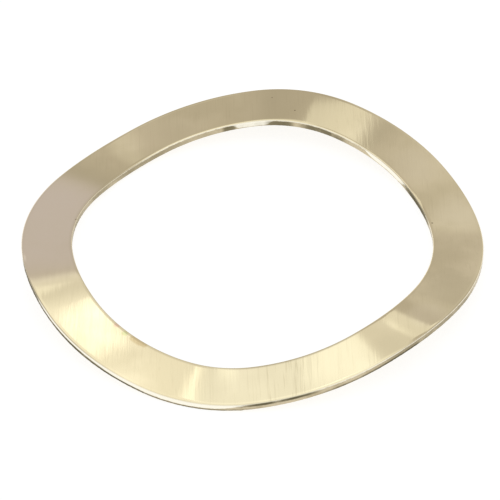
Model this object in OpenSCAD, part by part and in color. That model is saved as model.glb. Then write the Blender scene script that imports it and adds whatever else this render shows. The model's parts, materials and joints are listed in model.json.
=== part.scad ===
// Wave spring washer: a flat ring cut from strip and pressed into even waves.
// It lies on its troughs at z = 0, with a crest on +X and its axis on +Z.

/* [Ring] */
// Outside diameter of the ring
outer_d = 32; // [20:0.5:60]
// Width of the ring, from its rim in to the hole that the shaft passes through
ring_width = 3.5; // [1.5:0.1:7]
// Thickness of the strip
thickness = 0.5; // [0.2:0.05:1]

/* [Waves] */
// Number of waves round the ring
waves = 3; // [2:1:5]
// Height of the relaxed washer, from its troughs to its crests
free_height = 2.35; // [1.2:0.05:5]
// Angle round the ring that each bend takes, with flat flanks between the bends
bend_angle = 28; // [8:1:34]

/* [Hidden] */
brass = [0.78, 0.7, 0.5];

outer_r = outer_d / 2;
inner_r = outer_r - ring_width;

// Angles round the ring, from a crest to mid-height and from mid-height to the start of a bend
quarter = 90 / waves;
half_bend = bend_angle / 2;
half_flank = quarter - half_bend;
half_bend_rad = half_bend * PI / 180;

// Lines from the axis outwards are straight, so a height is a rise for each millimetre of radius
crest_tilt = atan2(free_height / 2, outer_r) - asin(thickness / 2 / norm([outer_r, free_height / 2]));
crest_rise = tan(crest_tilt);
bend_slope = crest_rise / (tan(half_flank) + half_bend_rad / 2);

// The sheet is drawn wider than the ring by this margin, out to its straight flank edges, and then trimmed
margin = thickness;
sheet_inner_r = inner_r - margin;
sheet_outer_r = (outer_r + margin) / cos(half_flank);
facets_per_bend = 20;
wall_facets = 180;

// Rise and slope of the strip's middle, y degrees round the ring from the top of a crest
function rise(y) = crest_rise - bend_slope * half_bend_rad * pow(y / half_bend, 2) / 2;
function slope(y) = bend_slope * y / half_bend;

// Upright thickness of the tilted strip, y degrees from the top of a crest
function upright(y) = thickness * norm([1, rise(y), slope(y)]);

// Corners of the strip, y degrees from the middle of a bend, with crests and troughs in turn
function section(bend, y) =
    let (a = 2 * quarter * bend + y, up = bend % 2 == 0 ? 1 : -1)
    [
        for (corner = [[sheet_inner_r, -1], [sheet_outer_r, -1], [sheet_outer_r, 1], [sheet_inner_r, 1]])
            let (r = corner[0], z = up * r * rise(y) + corner[1] * upright(y) / 2)
            [r * cos(a), r * sin(a), z]
    ];

// Waved sheet, a closed loop of sections: a fan of them at each bend, and flat flanks from fan to fan
module wave_sheet() {
    points = [
        for (bend = [0 : 2 * waves - 1], i = [0 : facets_per_bend])
            each section(bend, bend_angle * i / facets_per_bend - half_bend)
    ];
    sections = len(points) / 4;
    faces = [
        for (i = [0 : sections - 1], corner = [0 : 3])
            let (next = (i + 1) % sections, beside = (corner + 1) % 4)
            [4 * i + corner, 4 * i + beside, 4 * next + beside, 4 * next + corner]
    ];
    polyhedron(points, faces, convexity = 2 * waves);
}

// Round walls of the ring, with their seams a quarter of the way from a crest to mid-height
module ring_walls() {
    rotate([0, 0, -quarter / 4])
        difference() {
            cylinder(r = outer_r, h = 2 * free_height, center = true, $fn = wall_facets);
            cylinder(r = inner_r, h = 3 * free_height, center = true, $fn = wall_facets);
        }
}

module wave_washer() {
    color(brass)
        translate([0, 0, free_height / 2])
            intersection() {
                wave_sheet();
                ring_walls();
            }
}

wave_washer();
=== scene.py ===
"""Wave spring washer: a thin brass ring pressed into three waves, lying on a white table."""
import json
import math

import bpy
import numpy as np
from mathutils import Matrix, Vector, noise


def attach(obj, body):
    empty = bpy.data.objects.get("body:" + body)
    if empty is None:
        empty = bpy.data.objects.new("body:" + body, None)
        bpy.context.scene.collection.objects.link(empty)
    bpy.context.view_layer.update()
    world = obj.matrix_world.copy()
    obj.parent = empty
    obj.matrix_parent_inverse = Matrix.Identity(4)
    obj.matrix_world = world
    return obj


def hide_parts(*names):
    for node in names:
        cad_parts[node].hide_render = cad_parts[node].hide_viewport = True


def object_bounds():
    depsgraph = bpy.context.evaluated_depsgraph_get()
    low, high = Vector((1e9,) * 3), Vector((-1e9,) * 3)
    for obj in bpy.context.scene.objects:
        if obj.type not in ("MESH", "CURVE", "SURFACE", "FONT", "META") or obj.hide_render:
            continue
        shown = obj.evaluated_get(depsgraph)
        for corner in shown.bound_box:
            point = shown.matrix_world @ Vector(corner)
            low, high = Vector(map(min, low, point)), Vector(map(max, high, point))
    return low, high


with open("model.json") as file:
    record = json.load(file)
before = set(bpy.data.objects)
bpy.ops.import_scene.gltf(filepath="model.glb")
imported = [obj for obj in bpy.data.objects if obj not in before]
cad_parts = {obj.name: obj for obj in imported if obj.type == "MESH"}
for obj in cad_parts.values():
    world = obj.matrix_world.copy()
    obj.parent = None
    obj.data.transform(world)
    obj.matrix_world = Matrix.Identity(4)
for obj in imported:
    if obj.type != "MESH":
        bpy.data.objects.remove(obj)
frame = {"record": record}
cad_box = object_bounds()

MM = 0.001
UP = Vector((0, 0, 1))

# Sizes of the washer, the first three read from the model
OUTER_R = cad_box[1].x
INNER_R = frame["record"]["mounts"][0]["dims"]["r_mm"] * MM
FREE_HEIGHT = cad_box[1].z
THICKNESS = 0.5 * MM
WAVES = 3
BEND_ANGLE = math.radians(28)

# Steps of the mesh: round the ring, and along the strip's section
RING_STEPS = 1080
CORNER_STEPS = 7
WALL_STEPS = 8
FACE_STEPS = 18

# Punched edges: a rolled-over top corner, a smooth band below it, then a torn band that steps back
TOP_CORNER_R = 0.09 * MM
LOW_CORNER_R = 0.04 * MM
TEAR_DEPTH = 0.02 * MM
TEAR_GRAIN = 0.15 * MM

# Depth of the smooth band as a share of the thickness, and the stretches where it is deeper:
# the angle of the middle and half the width in degrees, and the share there
SMOOTH_SHARE = 0.14
DEEPER_OUTSIDE = ((259, 14, 0.45), (291, 19, 0.66))
DEEPER_INSIDE = ((84, 9, 0.8), (134, 6, 0.85))

# Share of the thickness over which one band of a wall turns into the next
BAND_FADE = 0.1

# Painted shade on the walls, in stretches darkened in place of shade and dark reflections: the angle of
# the middle and half the width in degrees, where they start and end below the top face, as shares of the
# thickness, and how dark they are. Most run off the bottom
PAST_BOTTOM = 1.1
WALL_SHADE_OUTSIDE = (
    (242, 9, 0, PAST_BOTTOM, 1),
    (259, 16, 0.45, PAST_BOTTOM, 1),
    (277, 10, 0.6, PAST_BOTTOM, 1),
    (295, 18, 0.75, PAST_BOTTOM, 0.7),
    (320.5, 9, 0.05, 0.5, 1),
    (345, 14, 0.7, PAST_BOTTOM, 0.8),
    (5, 18, 0.2, PAST_BOTTOM, 0.45),
)
WALL_SHADE_INSIDE = (
    (65, 10, 0, PAST_BOTTOM, 1),
    (110, 8, 0.2, PAST_BOTTOM, 0.8),
    (125, 4.6, 0.2, PAST_BOTTOM, 0.8),
    (134.5, 4.5, 0.25, PAST_BOTTOM, 0.2),
    (141.7, 2.2, 0.2, PAST_BOTTOM, 0.75),
    (187, 40, 0.2, PAST_BOTTOM, 0.38),
)

# Painted shade along the edge of the top face, a dark line in place of the corner's dark reflection: how
# far in from the wall it reaches, in radii of the top corner, and its stretches, with the angle of the
# middle and half the width in degrees and the strength
EDGE_LINE_REACH = 1.25
SHADED_EDGE_OUTSIDE = ((126, 113, 0.5),)
SHADED_EDGE_INSIDE = ((262, 84, 0.8),)

# Slight unevenness of the pressed sheet, a shallow hollow across it, and a swell that rises towards
# the hole: angle and half width in degrees, and depth or height
UNEVEN_DEPTH = 0.007 * MM
UNEVEN_LENGTH = 4.5 * MM
HOLLOW = (264, 13, 0.055 * MM)
SWELL = (290, 8, 0.038 * MM)

# A small burr on the rim: angle in degrees, half width and height
BURR = (311, 0.12 * MM, 0.05 * MM)

# Colours of the metal
BRASS = (0.94, 0.79, 0.505)
DULL_BRASS = (0.82, 0.685, 0.425)
# Brown of the rolling lines, also used for the painted shade along the edge of the top face
LINE_BROWN = (0.55, 0.455, 0.27)
# The olive is painted shade: it darkens bands at the bends in place of dark reflections
OLIVE_SHADE = (0.70, 0.585, 0.36)
PINK_TARNISH = (0.95, 0.80, 0.625)
PALE_BRASS = (0.95, 0.84, 0.565)
# The burnished band's colour, paled towards white as a painted highlight
BURNISHED_HIGHLIGHT = (0.98, 0.93, 0.79)
TORN_TAN = (0.62, 0.53, 0.36)
TORN_BROWN = (0.50, 0.42, 0.27)
# Painted shade on the walls, in place of shadow and dark reflections
PAINTED_WALL_SHADE = (0.21, 0.18, 0.105)
SPECK_BROWN = (0.20, 0.15, 0.08)
STAIN_BROWN = (0.68, 0.52, 0.28)
STAIN_YELLOW = (0.66, 0.63, 0.31)
STAIN_RED = (0.78, 0.52, 0.36)
# Painted shade and painted highlight for the top face's mottled reflection
SHADE_PATCH = (0.76, 0.635, 0.395)
HIGHLIGHT_PATCH = (0.97, 0.825, 0.55)

# Roughness of the faces, from the smoothest to the roughest lines, and what torn and dark walls add
POLISH = (0.06, 0.09)
TORN_ROUGHNESS = 0.3
DARK_ROUGHNESS = 0.4

# Rolling lines of the strip: the turn about Z that brings them onto Y, how long they are drawn out,
# their depth, and the share of the fine lines in it
ROLLING_TURN = math.radians(45)
LINE_STRETCH = 60
LINE_DEPTH = 0.0034 * MM
FINE_LINE_SHARE = 0.35

# Fineness of the noise in the metal, in lumps for each metre
FINE_LINES = 7000
BROAD_LINES = 1600
CLOUDS = 200
BLOTCHES = 600
WOBBLE = 4000

# Range of the wobble in edges, in radii of a mark, or in thicknesses on a wall
WOBBLE_REACH = 0.3

# Bends and flanks where the colour differs: olive bands of painted shade at the bends, a pink tarnish and
# a paler flank, and where the rolling lines are dark: the angle of the middle and half the width in
# degrees, and the strength
OLIVE_SHADE_BANDS = (
    (95, 4.5, 0.9),
    (114, 5, 0.55),
    (127, 8.5, 1),
    (158, 8, 0.45),
    (190, 5.5, 1),
    (250, 6, 0.65),
    (303, 7, 0.25),
)
PINK_FLANK = ((217.5, 24.5, 1),)
PALE_FLANK = ((323, 24, 0.45),)
DARK_LINES = ((324, 8, 1),)

# Patches of painted shade and painted highlight on the top face, in place of its mottled reflection:
# their strength, then angle in degrees, radius, width and colour
PATCH_STRENGTH = 0.6
PATCHES = (
    (20, 15.4 * MM, 6 * MM, SHADE_PATCH),
    (24, 14.4 * MM, 3 * MM, SHADE_PATCH),
    (350.5, 15.4 * MM, 3 * MM, SHADE_PATCH),
    (6.5, 14.8 * MM, 3 * MM, HIGHLIGHT_PATCH),
    (57, 15 * MM, 4.5 * MM, HIGHLIGHT_PATCH),
    (80, 14.2 * MM, 4 * MM, HIGHLIGHT_PATCH),
)

# Marks on the top face: their strength, then angle in degrees, radius, width and colour
MARK_STRENGTH = 0.85
MARKS = (
    (213.5, 12.55 * MM, 0.22 * MM, SPECK_BROWN),
    (54, 12.75 * MM, 0.18 * MM, SPECK_BROWN),
    (121, 13.7 * MM, 0.14 * MM, SPECK_BROWN),
    (128.5, 15 * MM, 0.12 * MM, SPECK_BROWN),
    (267.8, 12.65 * MM, 0.6 * MM, STAIN_RED),
    (271.8, 12.8 * MM, 0.6 * MM, STAIN_YELLOW),
    (274.9, 12.75 * MM, 0.65 * MM, STAIN_BROWN),
    (276.2, 12.75 * MM, 0.75 * MM, STAIN_BROWN),
    (277.6, 12.75 * MM, 0.75 * MM, STAIN_BROWN),
    (279, 12.7 * MM, 0.65 * MM, STAIN_BROWN),
)

# Table, in metres: radius of its flat middle and of the upsweep round it, steps round it and up it,
# and the angle of the first step up
TABLE_FLAT_R = 1.05
TABLE_SWEEP_R = 0.45
TABLE_SEGMENTS = 96
SWEEP_STEPS = 12
SWEEP_START = 0.1

# Table's grey as a lit surface, and the darker grey and the glow that show a faint shadow on white
TABLE_GREY = (0.8, 0.8, 0.8, 1)
SHADOW_GREY = (0.3, 0.3, 0.3, 1)
TABLE_GLOW = 0.8

# Camera, with the image taken as 500 pixels square
IMAGE_SIDE = 500
CAMERA_AZIMUTH = math.radians(45.1)
CAMERA_ELEVATION = math.radians(40.54)
CAMERA_ROLL = math.radians(1.66)
CAMERA_DISTANCE = 223.8 * MM
CLIP_START = 10 * MM
PIXELS_PER_RADIUS = 230.46
RING_CENTRE_PIXEL = (252.7, 241.65)
RING_CENTRE = Vector((0, 0, FREE_HEIGHT / 2))

# Room light, and softboxes that the faces mirror: bearing to the right of straight away from the
# camera and elevation, then width, height, roll and fading edge as the washer sees them, all in
# degrees, then distance in metres and brightness
ROOM_LIGHT = (0.555, 0.55, 0.56)
COOL_WHITE = (0.90, 1.0, 1.08)
SOFTBOXES = {
    "window": (-5, 61, 22.5, 34, -13, 4, 0.10, 0.31),
    "ceiling": (-6, 82, 55, 55, 30, 10, 0.30, 0.30),
    "small_lamp": (-11, 61.2, 5.5, 1.2, -30, 2, 0.055, 0.80),
    "left_strip": (-11, 50, 4, 5, 20, 1.2, 0.10, 0.26),
    "right_window": (13, 42.5, 11, 6.5, 5, 1, 0.08, 0.38),
    "right_card": (20, 35, 11.5, 23, -32, 6, 0.18, 0.12),
    "left_card": (-15, 33.5, 6, 3, 0, 2, 0.13, 0.14),
    "behind_camera": (180, 55, 90, 60, 0, 20, 0.60, 0.45),
}


# Shape of the washer


def wave(angles):
    """Rise for each metre of radius, and slope along the ring, of the strip's middle at these angles."""
    quarter = math.pi / 2 / WAVES
    half_bend = BEND_ANGLE / 2
    half_flank = quarter - half_bend
    half_height = FREE_HEIGHT / 2
    tilt = math.atan2(half_height, OUTER_R) - math.asin(THICKNESS / 2 / math.hypot(OUTER_R, half_height))
    top = math.tan(tilt)
    bend_slope = top / (math.tan(half_flank) + half_bend / 2)
    flank = bend_slope / math.cos(half_flank)

    # Parabolas on the bends, and flat planes on the flanks between them
    offset = (angles + 2 * quarter) % (4 * quarter) - 2 * quarter
    on_crest = np.abs(offset) < quarter
    from_peak = np.where(on_crest, np.abs(offset), 2 * quarter - np.abs(offset))
    bent = from_peak < half_bend
    bend_height = top - bend_slope * from_peak**2 / half_bend / 2
    height = np.where(bent, bend_height, flank * np.sin(quarter - from_peak))
    slope = np.where(bent, bend_slope * from_peak / half_bend, flank * np.cos(quarter - from_peak))
    return np.where(on_crest, height, -height), slope


def corner(radius_at, offset_at, radius, start):
    """Points of a quarter circle, walked clockwise, as radius and offset from the strip's middle."""
    turn = start + np.linspace(0, math.pi / 2, CORNER_STEPS)[::-1]
    return np.stack([radius_at + radius * np.cos(turn), offset_at + radius * np.sin(turn)], 1)


def section():
    """Outline of the strip, from its outer top corner down the rim and round, as radius and offset."""
    half = THICKNESS / 2
    low, top = LOW_CORNER_R, TOP_CORNER_R
    corners = [
        corner(OUTER_R - top, half - top, top, 0),
        corner(OUTER_R - low, low - half, low, -math.pi / 2),
        corner(INNER_R + low, low - half, low, math.pi),
        corner(INNER_R + top, half - top, top, math.pi / 2),
    ]
    outline = []
    for i, between in enumerate((WALL_STEPS, FACE_STEPS, WALL_STEPS, FACE_STEPS)):
        start, end = corners[i][-1], corners[(i + 1) % len(corners)][0]
        share = np.linspace(0, 1, between + 1)[1:-1, None]
        outline += [corners[i], start + share * (end - start)]
    return np.concatenate(outline)


def hump(angles, middle, half_width, power):
    """1 at the middle and 0 well beyond half the width, in degrees. A higher power has a flatter top."""
    away = np.abs((np.degrees(angles) - middle + 180) % 360 - 180)
    return np.exp(-((away / half_width) ** power))


def stretches(angles, places, power):
    """How strongly these angles lie on stretches with a middle, half a width and a strength."""
    return sum(strength * hump(angles, middle, half_width, power)
               for middle, half_width, strength in places)


def shade_stretches(angles, depth, places):
    """How strongly painted shade darkens a wall at these angles, and at depths that are shares of the
    thickness.
    """
    dark = 0
    for middle, half_width, start, end, strength in places:
        below_start = np.clip((depth - start) / BAND_FADE + 0.5, 0, 1)
        above_end = np.clip((end - depth) / BAND_FADE + 0.5, 0, 1)
        dark = dark + strength * hump(angles, middle, half_width, power=6) * below_start * above_end
    return np.minimum(dark, 1)


def smooth_share(angles, deeper):
    """Depth of the smooth band of a wall at these angles, as a share of the thickness."""
    share = np.full_like(angles, SMOOTH_SHARE)
    for middle, half_width, depth in deeper:
        share += (depth - SMOOTH_SHARE) * hump(angles, middle, half_width, power=8)
    return share


def grain(points, length):
    """Smooth noise between about -1 and 1 at these points, with lumps of this length."""
    values = [noise.noise(Vector(point) / length) for point in points.reshape(-1, 3)]
    return np.array(values).reshape(points.shape[:-1])


def wall_masks(around, r, offset, outside):
    """How far points are on a wall, below its smooth band, in a stretch of painted shade and on an edge
    line of painted shade.
    """
    depth = np.where(outside, OUTER_R - r, r - INNER_R)
    below_top = 0.5 - offset / THICKNESS
    on_wall = np.clip(1 - depth / (TOP_CORNER_R / 2), 0, 1)
    on_edge = np.clip(EDGE_LINE_REACH - depth / TOP_CORNER_R, 0, 1) * (offset > 0)
    smooth_outside = smooth_share(around, DEEPER_OUTSIDE)
    smooth_inside = smooth_share(around, DEEPER_INSIDE)
    wall_shade_outside = shade_stretches(around, below_top, WALL_SHADE_OUTSIDE)
    wall_shade_inside = shade_stretches(around, below_top, WALL_SHADE_INSIDE)
    edge_shade_outside = stretches(around, SHADED_EDGE_OUTSIDE, power=8)
    edge_shade_inside = stretches(around, SHADED_EDGE_INSIDE, power=8)
    return {
        "on_wall": on_wall,
        "below_smooth": below_top - np.where(outside, smooth_outside, smooth_inside),
        "shaded_wall": on_wall * np.where(outside, wall_shade_outside, wall_shade_inside),
        "shaded_edge": on_edge * np.where(outside, edge_shade_outside, edge_shade_inside),
    }


def face_masks(around):
    """How strongly the strip is tarnished pink, darkened by olive bands of painted shade, paler or lined
    at these angles.
    """
    return {
        "olive": stretches(around, OLIVE_SHADE_BANDS, power=2),
        "pink": stretches(around, PINK_FLANK, power=8),
        "pale": stretches(around, PALE_FLANK, power=14),
        "dark_lines": stretches(around, DARK_LINES, power=4),
    }


def ring_points(around, r, offset, outside, walls):
    """Points of the waved ring, with torn walls, a burr, and the unevenness of the sheet."""
    rise, slope = wave(around)
    upright = np.sqrt(1 + rise**2 + slope**2)

    def place(radius):
        height = FREE_HEIGHT / 2 + rise * radius + upright * offset
        return np.stack([radius * np.cos(around), radius * np.sin(around), height], -1)

    even = place(r)
    inwards = np.where(outside, -1, 1)
    torn = walls["on_wall"] * np.clip(walls["below_smooth"] / BAND_FADE, 0, 1)
    tear = TEAR_DEPTH * torn * (1 + grain(even, TEAR_GRAIN))
    burr_at, burr_width, burr_height = BURR
    burr_angle = math.degrees(burr_width / OUTER_R)
    burr = hump(around, burr_at, burr_angle, power=2) * walls["on_wall"] * outside
    points = place(r + inwards * tear + burr_height * burr)

    hollow_at, hollow_width, hollow_depth = HOLLOW
    swell_at, swell_width, swell_height = SWELL
    from_rim = (OUTER_R - r) / (OUTER_R - INNER_R)
    points[..., 2] += UNEVEN_DEPTH * grain(even * (1, 1, 0), UNEVEN_LENGTH)
    points[..., 2] -= hollow_depth * hump(around, hollow_at, hollow_width, power=2)
    points[..., 2] += swell_height * hump(around, swell_at, swell_width, power=2) * from_rim
    return points


def ring_faces(count):
    """Faces that join each section of this many points to the next one round the ring."""
    i, j = np.meshgrid(np.arange(RING_STEPS), np.arange(count), indexing="ij")
    here, ahead = i * count, (i + 1) % RING_STEPS * count
    beside = (j + 1) % count
    return np.stack([here + j, here + beside, ahead + beside, ahead + j], -1).reshape(-1, 4)


def washer_mesh():
    """The waved ring, with the masks that its material uses."""
    around = np.arange(RING_STEPS)[:, None] * math.tau / RING_STEPS
    r, offset = section().T
    outside = r > (INNER_R + OUTER_R) / 2
    walls = wall_masks(around, r, offset, outside)
    points = ring_points(around, r, offset, outside, walls)
    faces = ring_faces(len(r))
    mesh = bpy.data.meshes.new("wave_washer_detailed")
    mesh.from_pydata(points.reshape(-1, 3).tolist(), [], faces.tolist())
    mesh.polygons.foreach_set("use_smooth", [True] * len(faces))
    for name, values in {**walls, **face_masks(around)}.items():
        at_points = np.broadcast_to(values, points.shape[:-1])
        layer = mesh.attributes.new(name, "FLOAT", "POINT")
        layer.data.foreach_set("value", at_points.astype(np.float32).ravel())
    return mesh


def on_top_face(angle, radius):
    """The point of the top face at this angle in degrees and this radius."""
    turn = math.radians(angle)
    rise, slope = (float(value) for value in wave(np.array(turn)))
    height = FREE_HEIGHT / 2 + rise * radius + math.sqrt(1 + rise**2 + slope**2) * THICKNESS / 2
    return radius * math.cos(turn), radius * math.sin(turn), height


# Materials


class Nodes:
    """The node tree of a material or lamp, with short calls to add nodes and join them."""

    # Sockets of a Mix node that hold colours
    COLOUR_A = 6
    COLOUR_B = 7
    MIXED_COLOUR = 2

    def __init__(self, owner):
        owner.use_nodes = True
        self.owner = owner
        self.tree = owner.node_tree
        self.tree.nodes.clear()

    def add(self, kind, inputs=(), **settings):
        """A new node, with inputs that are values or other nodes' outputs."""
        node = self.tree.nodes.new("ShaderNode" + kind)
        for key, value in settings.items():
            setattr(node, key, value)
        for key, value in dict(inputs).items():
            if isinstance(value, bpy.types.NodeSocket):
                self.tree.links.new(value, node.inputs[key])
            else:
                node.inputs[key].default_value = value
        return node

    def math(self, operation, *values):
        return self.add("Math", enumerate(values), operation=operation).outputs[0]

    def ramp(self, value, low, high, to_low=0.0, to_high=1.0):
        """A smooth step from one level to another, while the value goes from low to high."""
        names = {"Value": value, "From Min": low, "From Max": high, "To Min": to_low, "To Max": to_high}
        return self.add("MapRange", names, interpolation_type="SMOOTHSTEP").outputs[0]

    def mix(self, factor, a, b):
        inputs = {0: factor}
        for key, value in ((self.COLOUR_A, a), (self.COLOUR_B, b)):
            inputs[key] = value if isinstance(value, bpy.types.NodeSocket) else (*value, 1)
        return self.add("Mix", inputs, data_type="RGBA").outputs[self.MIXED_COLOUR]

    def noise(self, vector, scale, detail=2.0, roughness=0.5):
        inputs = {"Vector": vector, "Scale": scale, "Detail": detail, "Roughness": roughness}
        return self.add("TexNoise", inputs).outputs[0]

    def away(self, place, point, unit):
        """Distance of a place from a point, in lengths of the unit."""
        distance = self.add("VectorMath", {0: place, 1: point}, operation="DISTANCE").outputs["Value"]
        return self.math("DIVIDE", distance, unit)

    def mask(self, name):
        """A mask that the mesh holds."""
        return self.add("Attribute", attribute_name=name).outputs["Fac"]

    def finish(self, shader, output="OutputMaterial"):
        self.add(output, {"Surface": shader})
        return self.owner


def add_spots(n, colour, place, spots, ragged, full, gone, strength):
    """Mix in round spots of the top face: full and gone are where they fade, in radii of the spot."""
    for angle, radius, width, spot_colour in spots:
        away = n.math("ADD", n.away(place, on_top_face(angle, radius), width / 2), ragged)
        colour = n.mix(n.ramp(away, gone, full, to_high=strength), colour, spot_colour)
    return colour


def brass():
    """Rolled brass strip with fine lines, a light pink tarnish, a few marks and punched edges, and
    painted shade and painted highlights in its colour.
    """
    n = Nodes(bpy.data.materials.new("rolled_brass"))
    place = n.add("TexCoord").outputs["Object"]
    along = {"Vector": place, "Rotation": (0, 0, ROLLING_TURN), "Scale": (1, LINE_STRETCH, 1)}
    rolled = n.add("Mapping", along, vector_type="TEXTURE").outputs[0]
    fine_lines = n.noise(rolled, FINE_LINES, detail=2, roughness=0.6)
    broad_lines = n.noise(rolled, BROAD_LINES, detail=3, roughness=0.6)
    clouds = n.noise(place, CLOUDS, detail=3)
    blotches = n.noise(place, BLOTCHES, detail=4, roughness=0.6)
    ragged = n.math("SUBTRACT", blotches, 0.5)
    wobble = n.math("MULTIPLY", n.math("SUBTRACT", n.noise(place, WOBBLE), 0.5), WOBBLE_REACH)

    # Top and bottom: mottled metal, lines, pink tarnish, olive bands of painted shade, patches of painted
    # shade and painted highlight, and marks
    colour = n.mix(n.ramp(clouds, 0.36, 0.62), BRASS, DULL_BRASS)
    colour = n.mix(n.mask("pale"), colour, PALE_BRASS)
    line_strength = n.ramp(n.mask("dark_lines"), 0, 1, to_low=0.12, to_high=0.42)
    lined = n.math("MULTIPLY", n.ramp(fine_lines, 0.52, 0.72), line_strength)
    colour = n.mix(lined, colour, LINE_BROWN)
    # Olive bands of painted shade at the bends
    olive = n.math("MULTIPLY", n.mask("olive"), n.ramp(clouds, 0.2, 0.6, to_low=1, to_high=0.6))
    colour = n.mix(olive, colour, OLIVE_SHADE)
    pink = n.math("MULTIPLY", n.mask("pink"), n.ramp(clouds, 0.3, 0.8, to_low=1, to_high=0.7))
    colour = n.mix(pink, colour, PINK_TARNISH)
    # Patches of painted shade and painted highlight
    colour = add_spots(n, colour, place, PATCHES, ragged, full=0.3, gone=1.2, strength=PATCH_STRENGTH)
    colour = add_spots(n, colour, place, MARKS, wobble, full=0.4, gone=1.0, strength=MARK_STRENGTH)

    # Walls: a smooth band paled towards white as a painted highlight, over a dull torn one, a ragged line
    # between them, and stretches of painted shade; the face's edge gets a line of painted shade
    on_wall = n.mask("on_wall")
    colour = n.mix(on_wall, colour, BURNISHED_HIGHLIGHT)
    # Painted shade along the edge of the top face
    colour = n.mix(n.mask("shaded_edge"), colour, LINE_BROWN)
    below_line = n.ramp(n.math("ADD", n.mask("below_smooth"), wobble), -0.04, 0.06)
    torn = n.math("MULTIPLY", on_wall, below_line)
    colour = n.mix(torn, colour, n.mix(n.ramp(blotches, 0.45, 0.65), TORN_TAN, TORN_BROWN))
    # Painted shade in stretches of the walls
    shaded_wall = n.math("MULTIPLY", n.mask("shaded_wall"), n.ramp(blotches, 0.3, 0.5, to_low=0.4))
    colour = n.mix(shaded_wall, colour, PAINTED_WALL_SHADE)

    roughness = n.ramp(broad_lines, 0.3, 0.7, *POLISH)
    roughness = n.math("ADD", roughness, n.math("MULTIPLY", torn, TORN_ROUGHNESS))
    roughness = n.math("ADD", roughness, n.math("MULTIPLY", shaded_wall, DARK_ROUGHNESS))
    height = n.math("ADD", n.math("MULTIPLY", fine_lines, FINE_LINE_SHARE), broad_lines)
    bump = n.add("Bump", {"Height": height, "Strength": 1.0, "Distance": LINE_DEPTH})
    surface = {"Base Color": colour, "Metallic": 1.0, "Roughness": roughness, "Normal": bump.outputs[0]}
    return n.finish(n.add("BsdfPrincipled", surface).outputs[0])


def table_white():
    """White that camera and mirror rays see as white, under a soft shadow."""
    n = Nodes(bpy.data.materials.new("table_white"))
    path = n.add("LightPath").outputs
    seen = n.math("MAXIMUM", path["Is Camera Ray"], path["Is Glossy Ray"])
    seen = n.math("MAXIMUM", seen, path["Is Transmission Ray"])
    plain = n.add("BsdfDiffuse", {"Color": TABLE_GREY}).outputs[0]
    shaded = n.add("BsdfDiffuse", {"Color": SHADOW_GREY}).outputs[0]
    glow = n.add("Emission", {"Strength": TABLE_GLOW}).outputs[0]
    lifted = n.add("AddShader", {0: shaded, 1: glow}).outputs[0]
    return n.finish(n.add("MixShader", {0: seen, 1: plain, 2: lifted}).outputs[0])


# Scene


def link(name, data):
    """A new object in the scene."""
    made = bpy.data.objects.new(name, data)
    bpy.context.scene.collection.objects.link(made)
    return made


def make_washer():
    """The washer, in the place of the model's solid."""
    washer = link("wave_washer_detailed", washer_mesh())
    washer.data.materials.append(brass())
    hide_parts("wave_washer")
    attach(washer, "root")


def make_table():
    """Round white table with an upswept edge, which the camera sees from a low view."""
    profile = [(TABLE_FLAT_R, 0.0)]
    for lift in np.linspace(SWEEP_START, math.pi / 2, SWEEP_STEPS):
        outwards = TABLE_SWEEP_R * math.sin(lift)
        upwards = TABLE_SWEEP_R * (1 - math.cos(lift))
        profile.append((TABLE_FLAT_R + outwards, upwards))
    turns = np.linspace(0, math.tau, TABLE_SEGMENTS, endpoint=False)
    points = [(r * math.cos(turn), r * math.sin(turn), z) for r, z in profile for turn in turns]
    faces = [tuple(range(TABLE_SEGMENTS))]
    for ring in range(len(profile) - 1):
        inner = ring * TABLE_SEGMENTS
        outer = inner + TABLE_SEGMENTS
        for i in range(TABLE_SEGMENTS):
            beside = (i + 1) % TABLE_SEGMENTS
            faces.append((inner + i, outer + i, outer + beside, inner + beside))
    mesh = bpy.data.meshes.new("table")
    mesh.from_pydata(points, [], faces)
    mesh.materials.append(table_white())
    link("table", mesh)


def direction(bearing, elevation):
    """Unit vector from the washer, in degrees. Bearing 0 is away from the camera, right is positive."""
    turn = CAMERA_AZIMUTH - math.radians(bearing)
    lift = math.radians(elevation)
    return Vector((-math.sin(turn) * math.cos(lift), math.cos(turn) * math.cos(lift), math.sin(lift)))


def fade_edges(lamp, width_share, height_share):
    """Make a lamp fade towards its edges, over these shares of its width and height."""
    n = Nodes(lamp)
    across = n.add("SeparateXYZ", {0: n.add("NewGeometry").outputs["Parametric"]}).outputs

    # Distances to the nearer edges, 0.5 in the middle
    from_side = n.math("PINGPONG", across["X"], 0.5)
    from_end = n.math("PINGPONG", across["Y"], 0.5)
    level = n.math("MULTIPLY", n.ramp(from_side, 0, width_share), n.ramp(from_end, 0, height_share))
    n.finish(n.add("Emission", {"Strength": level}).outputs[0], "OutputLight")


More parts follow.
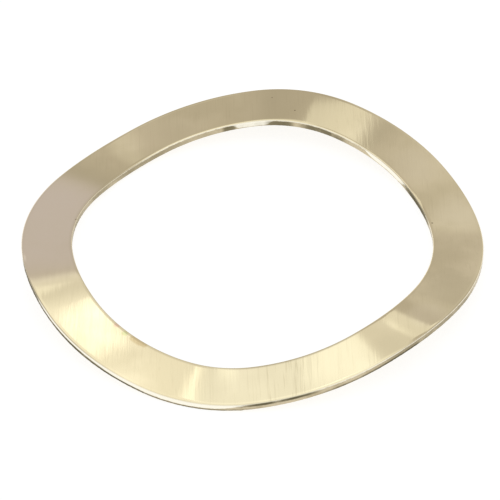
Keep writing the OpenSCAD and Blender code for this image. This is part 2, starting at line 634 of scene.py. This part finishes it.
def make_softbox(name, bearing, elevation, width, height, roll, fade, distance, brightness):
    """A softbox aimed at the washer, which camera rays don't see."""
    lamp = bpy.data.lights.new(name, "AREA")
    lamp.shape = "RECTANGLE"
    lamp.size = 2 * distance * math.tan(math.radians((width + fade) / 2))
    lamp.size_y = 2 * distance * math.tan(math.radians((height + fade) / 2))
    lamp.color = COOL_WHITE
    lamp.energy = brightness * math.pi * lamp.size * lamp.size_y
    fade_edges(lamp, fade / (width + fade), fade / (height + fade))
    box = link(name, lamp)
    away = direction(bearing, elevation)
    right = away.cross(UP).normalized()
    up = right.cross(away)
    turn = math.radians(roll)
    x = -right * math.cos(turn) - up * math.sin(turn)
    y = up * math.cos(turn) - right * math.sin(turn)
    box.matrix_world = Matrix((x, y, away)).transposed().to_4x4()
    box.location = RING_CENTRE + away * distance
    box.visible_camera = False


def make_light():
    """Even room light, with softboxes above and beyond the washer and one behind the camera."""
    world = bpy.data.worlds.new("room")
    world.use_nodes = True
    world.node_tree.nodes["Background"].inputs["Color"].default_value = (*ROOM_LIGHT, 1)
    bpy.context.scene.world = world
    for name, values in SOFTBOXES.items():
        make_softbox(name, *values)


def make_camera():
    """Camera that sees the ring where the photo shows it."""
    back = -direction(0, 0) * math.cos(CAMERA_ELEVATION) + UP * math.sin(CAMERA_ELEVATION)
    level = UP.cross(back).normalized()
    rise = back.cross(level)
    right = level * math.cos(CAMERA_ROLL) - rise * math.sin(CAMERA_ROLL)
    up = level * math.sin(CAMERA_ROLL) + rise * math.cos(CAMERA_ROLL)

    pixel = OUTER_R / PIXELS_PER_RADIUS
    aside = (RING_CENTRE_PIXEL[0] - IMAGE_SIDE / 2) * pixel
    above = (IMAGE_SIDE / 2 - RING_CENTRE_PIXEL[1]) * pixel
    data = bpy.data.cameras.new("camera")
    data.angle = 2 * math.atan(IMAGE_SIDE / 2 * pixel / CAMERA_DISTANCE)
    data.clip_start = CLIP_START
    camera = link("camera", data)
    camera.matrix_world = Matrix((right, up, back)).transposed().to_4x4()
    camera.location = RING_CENTRE - right * aside - up * above + back * CAMERA_DISTANCE
    bpy.context.scene.camera = camera


make_camera()
make_washer()
make_table()
make_light()
bpy.context.scene.view_settings.view_transform = "Standard"
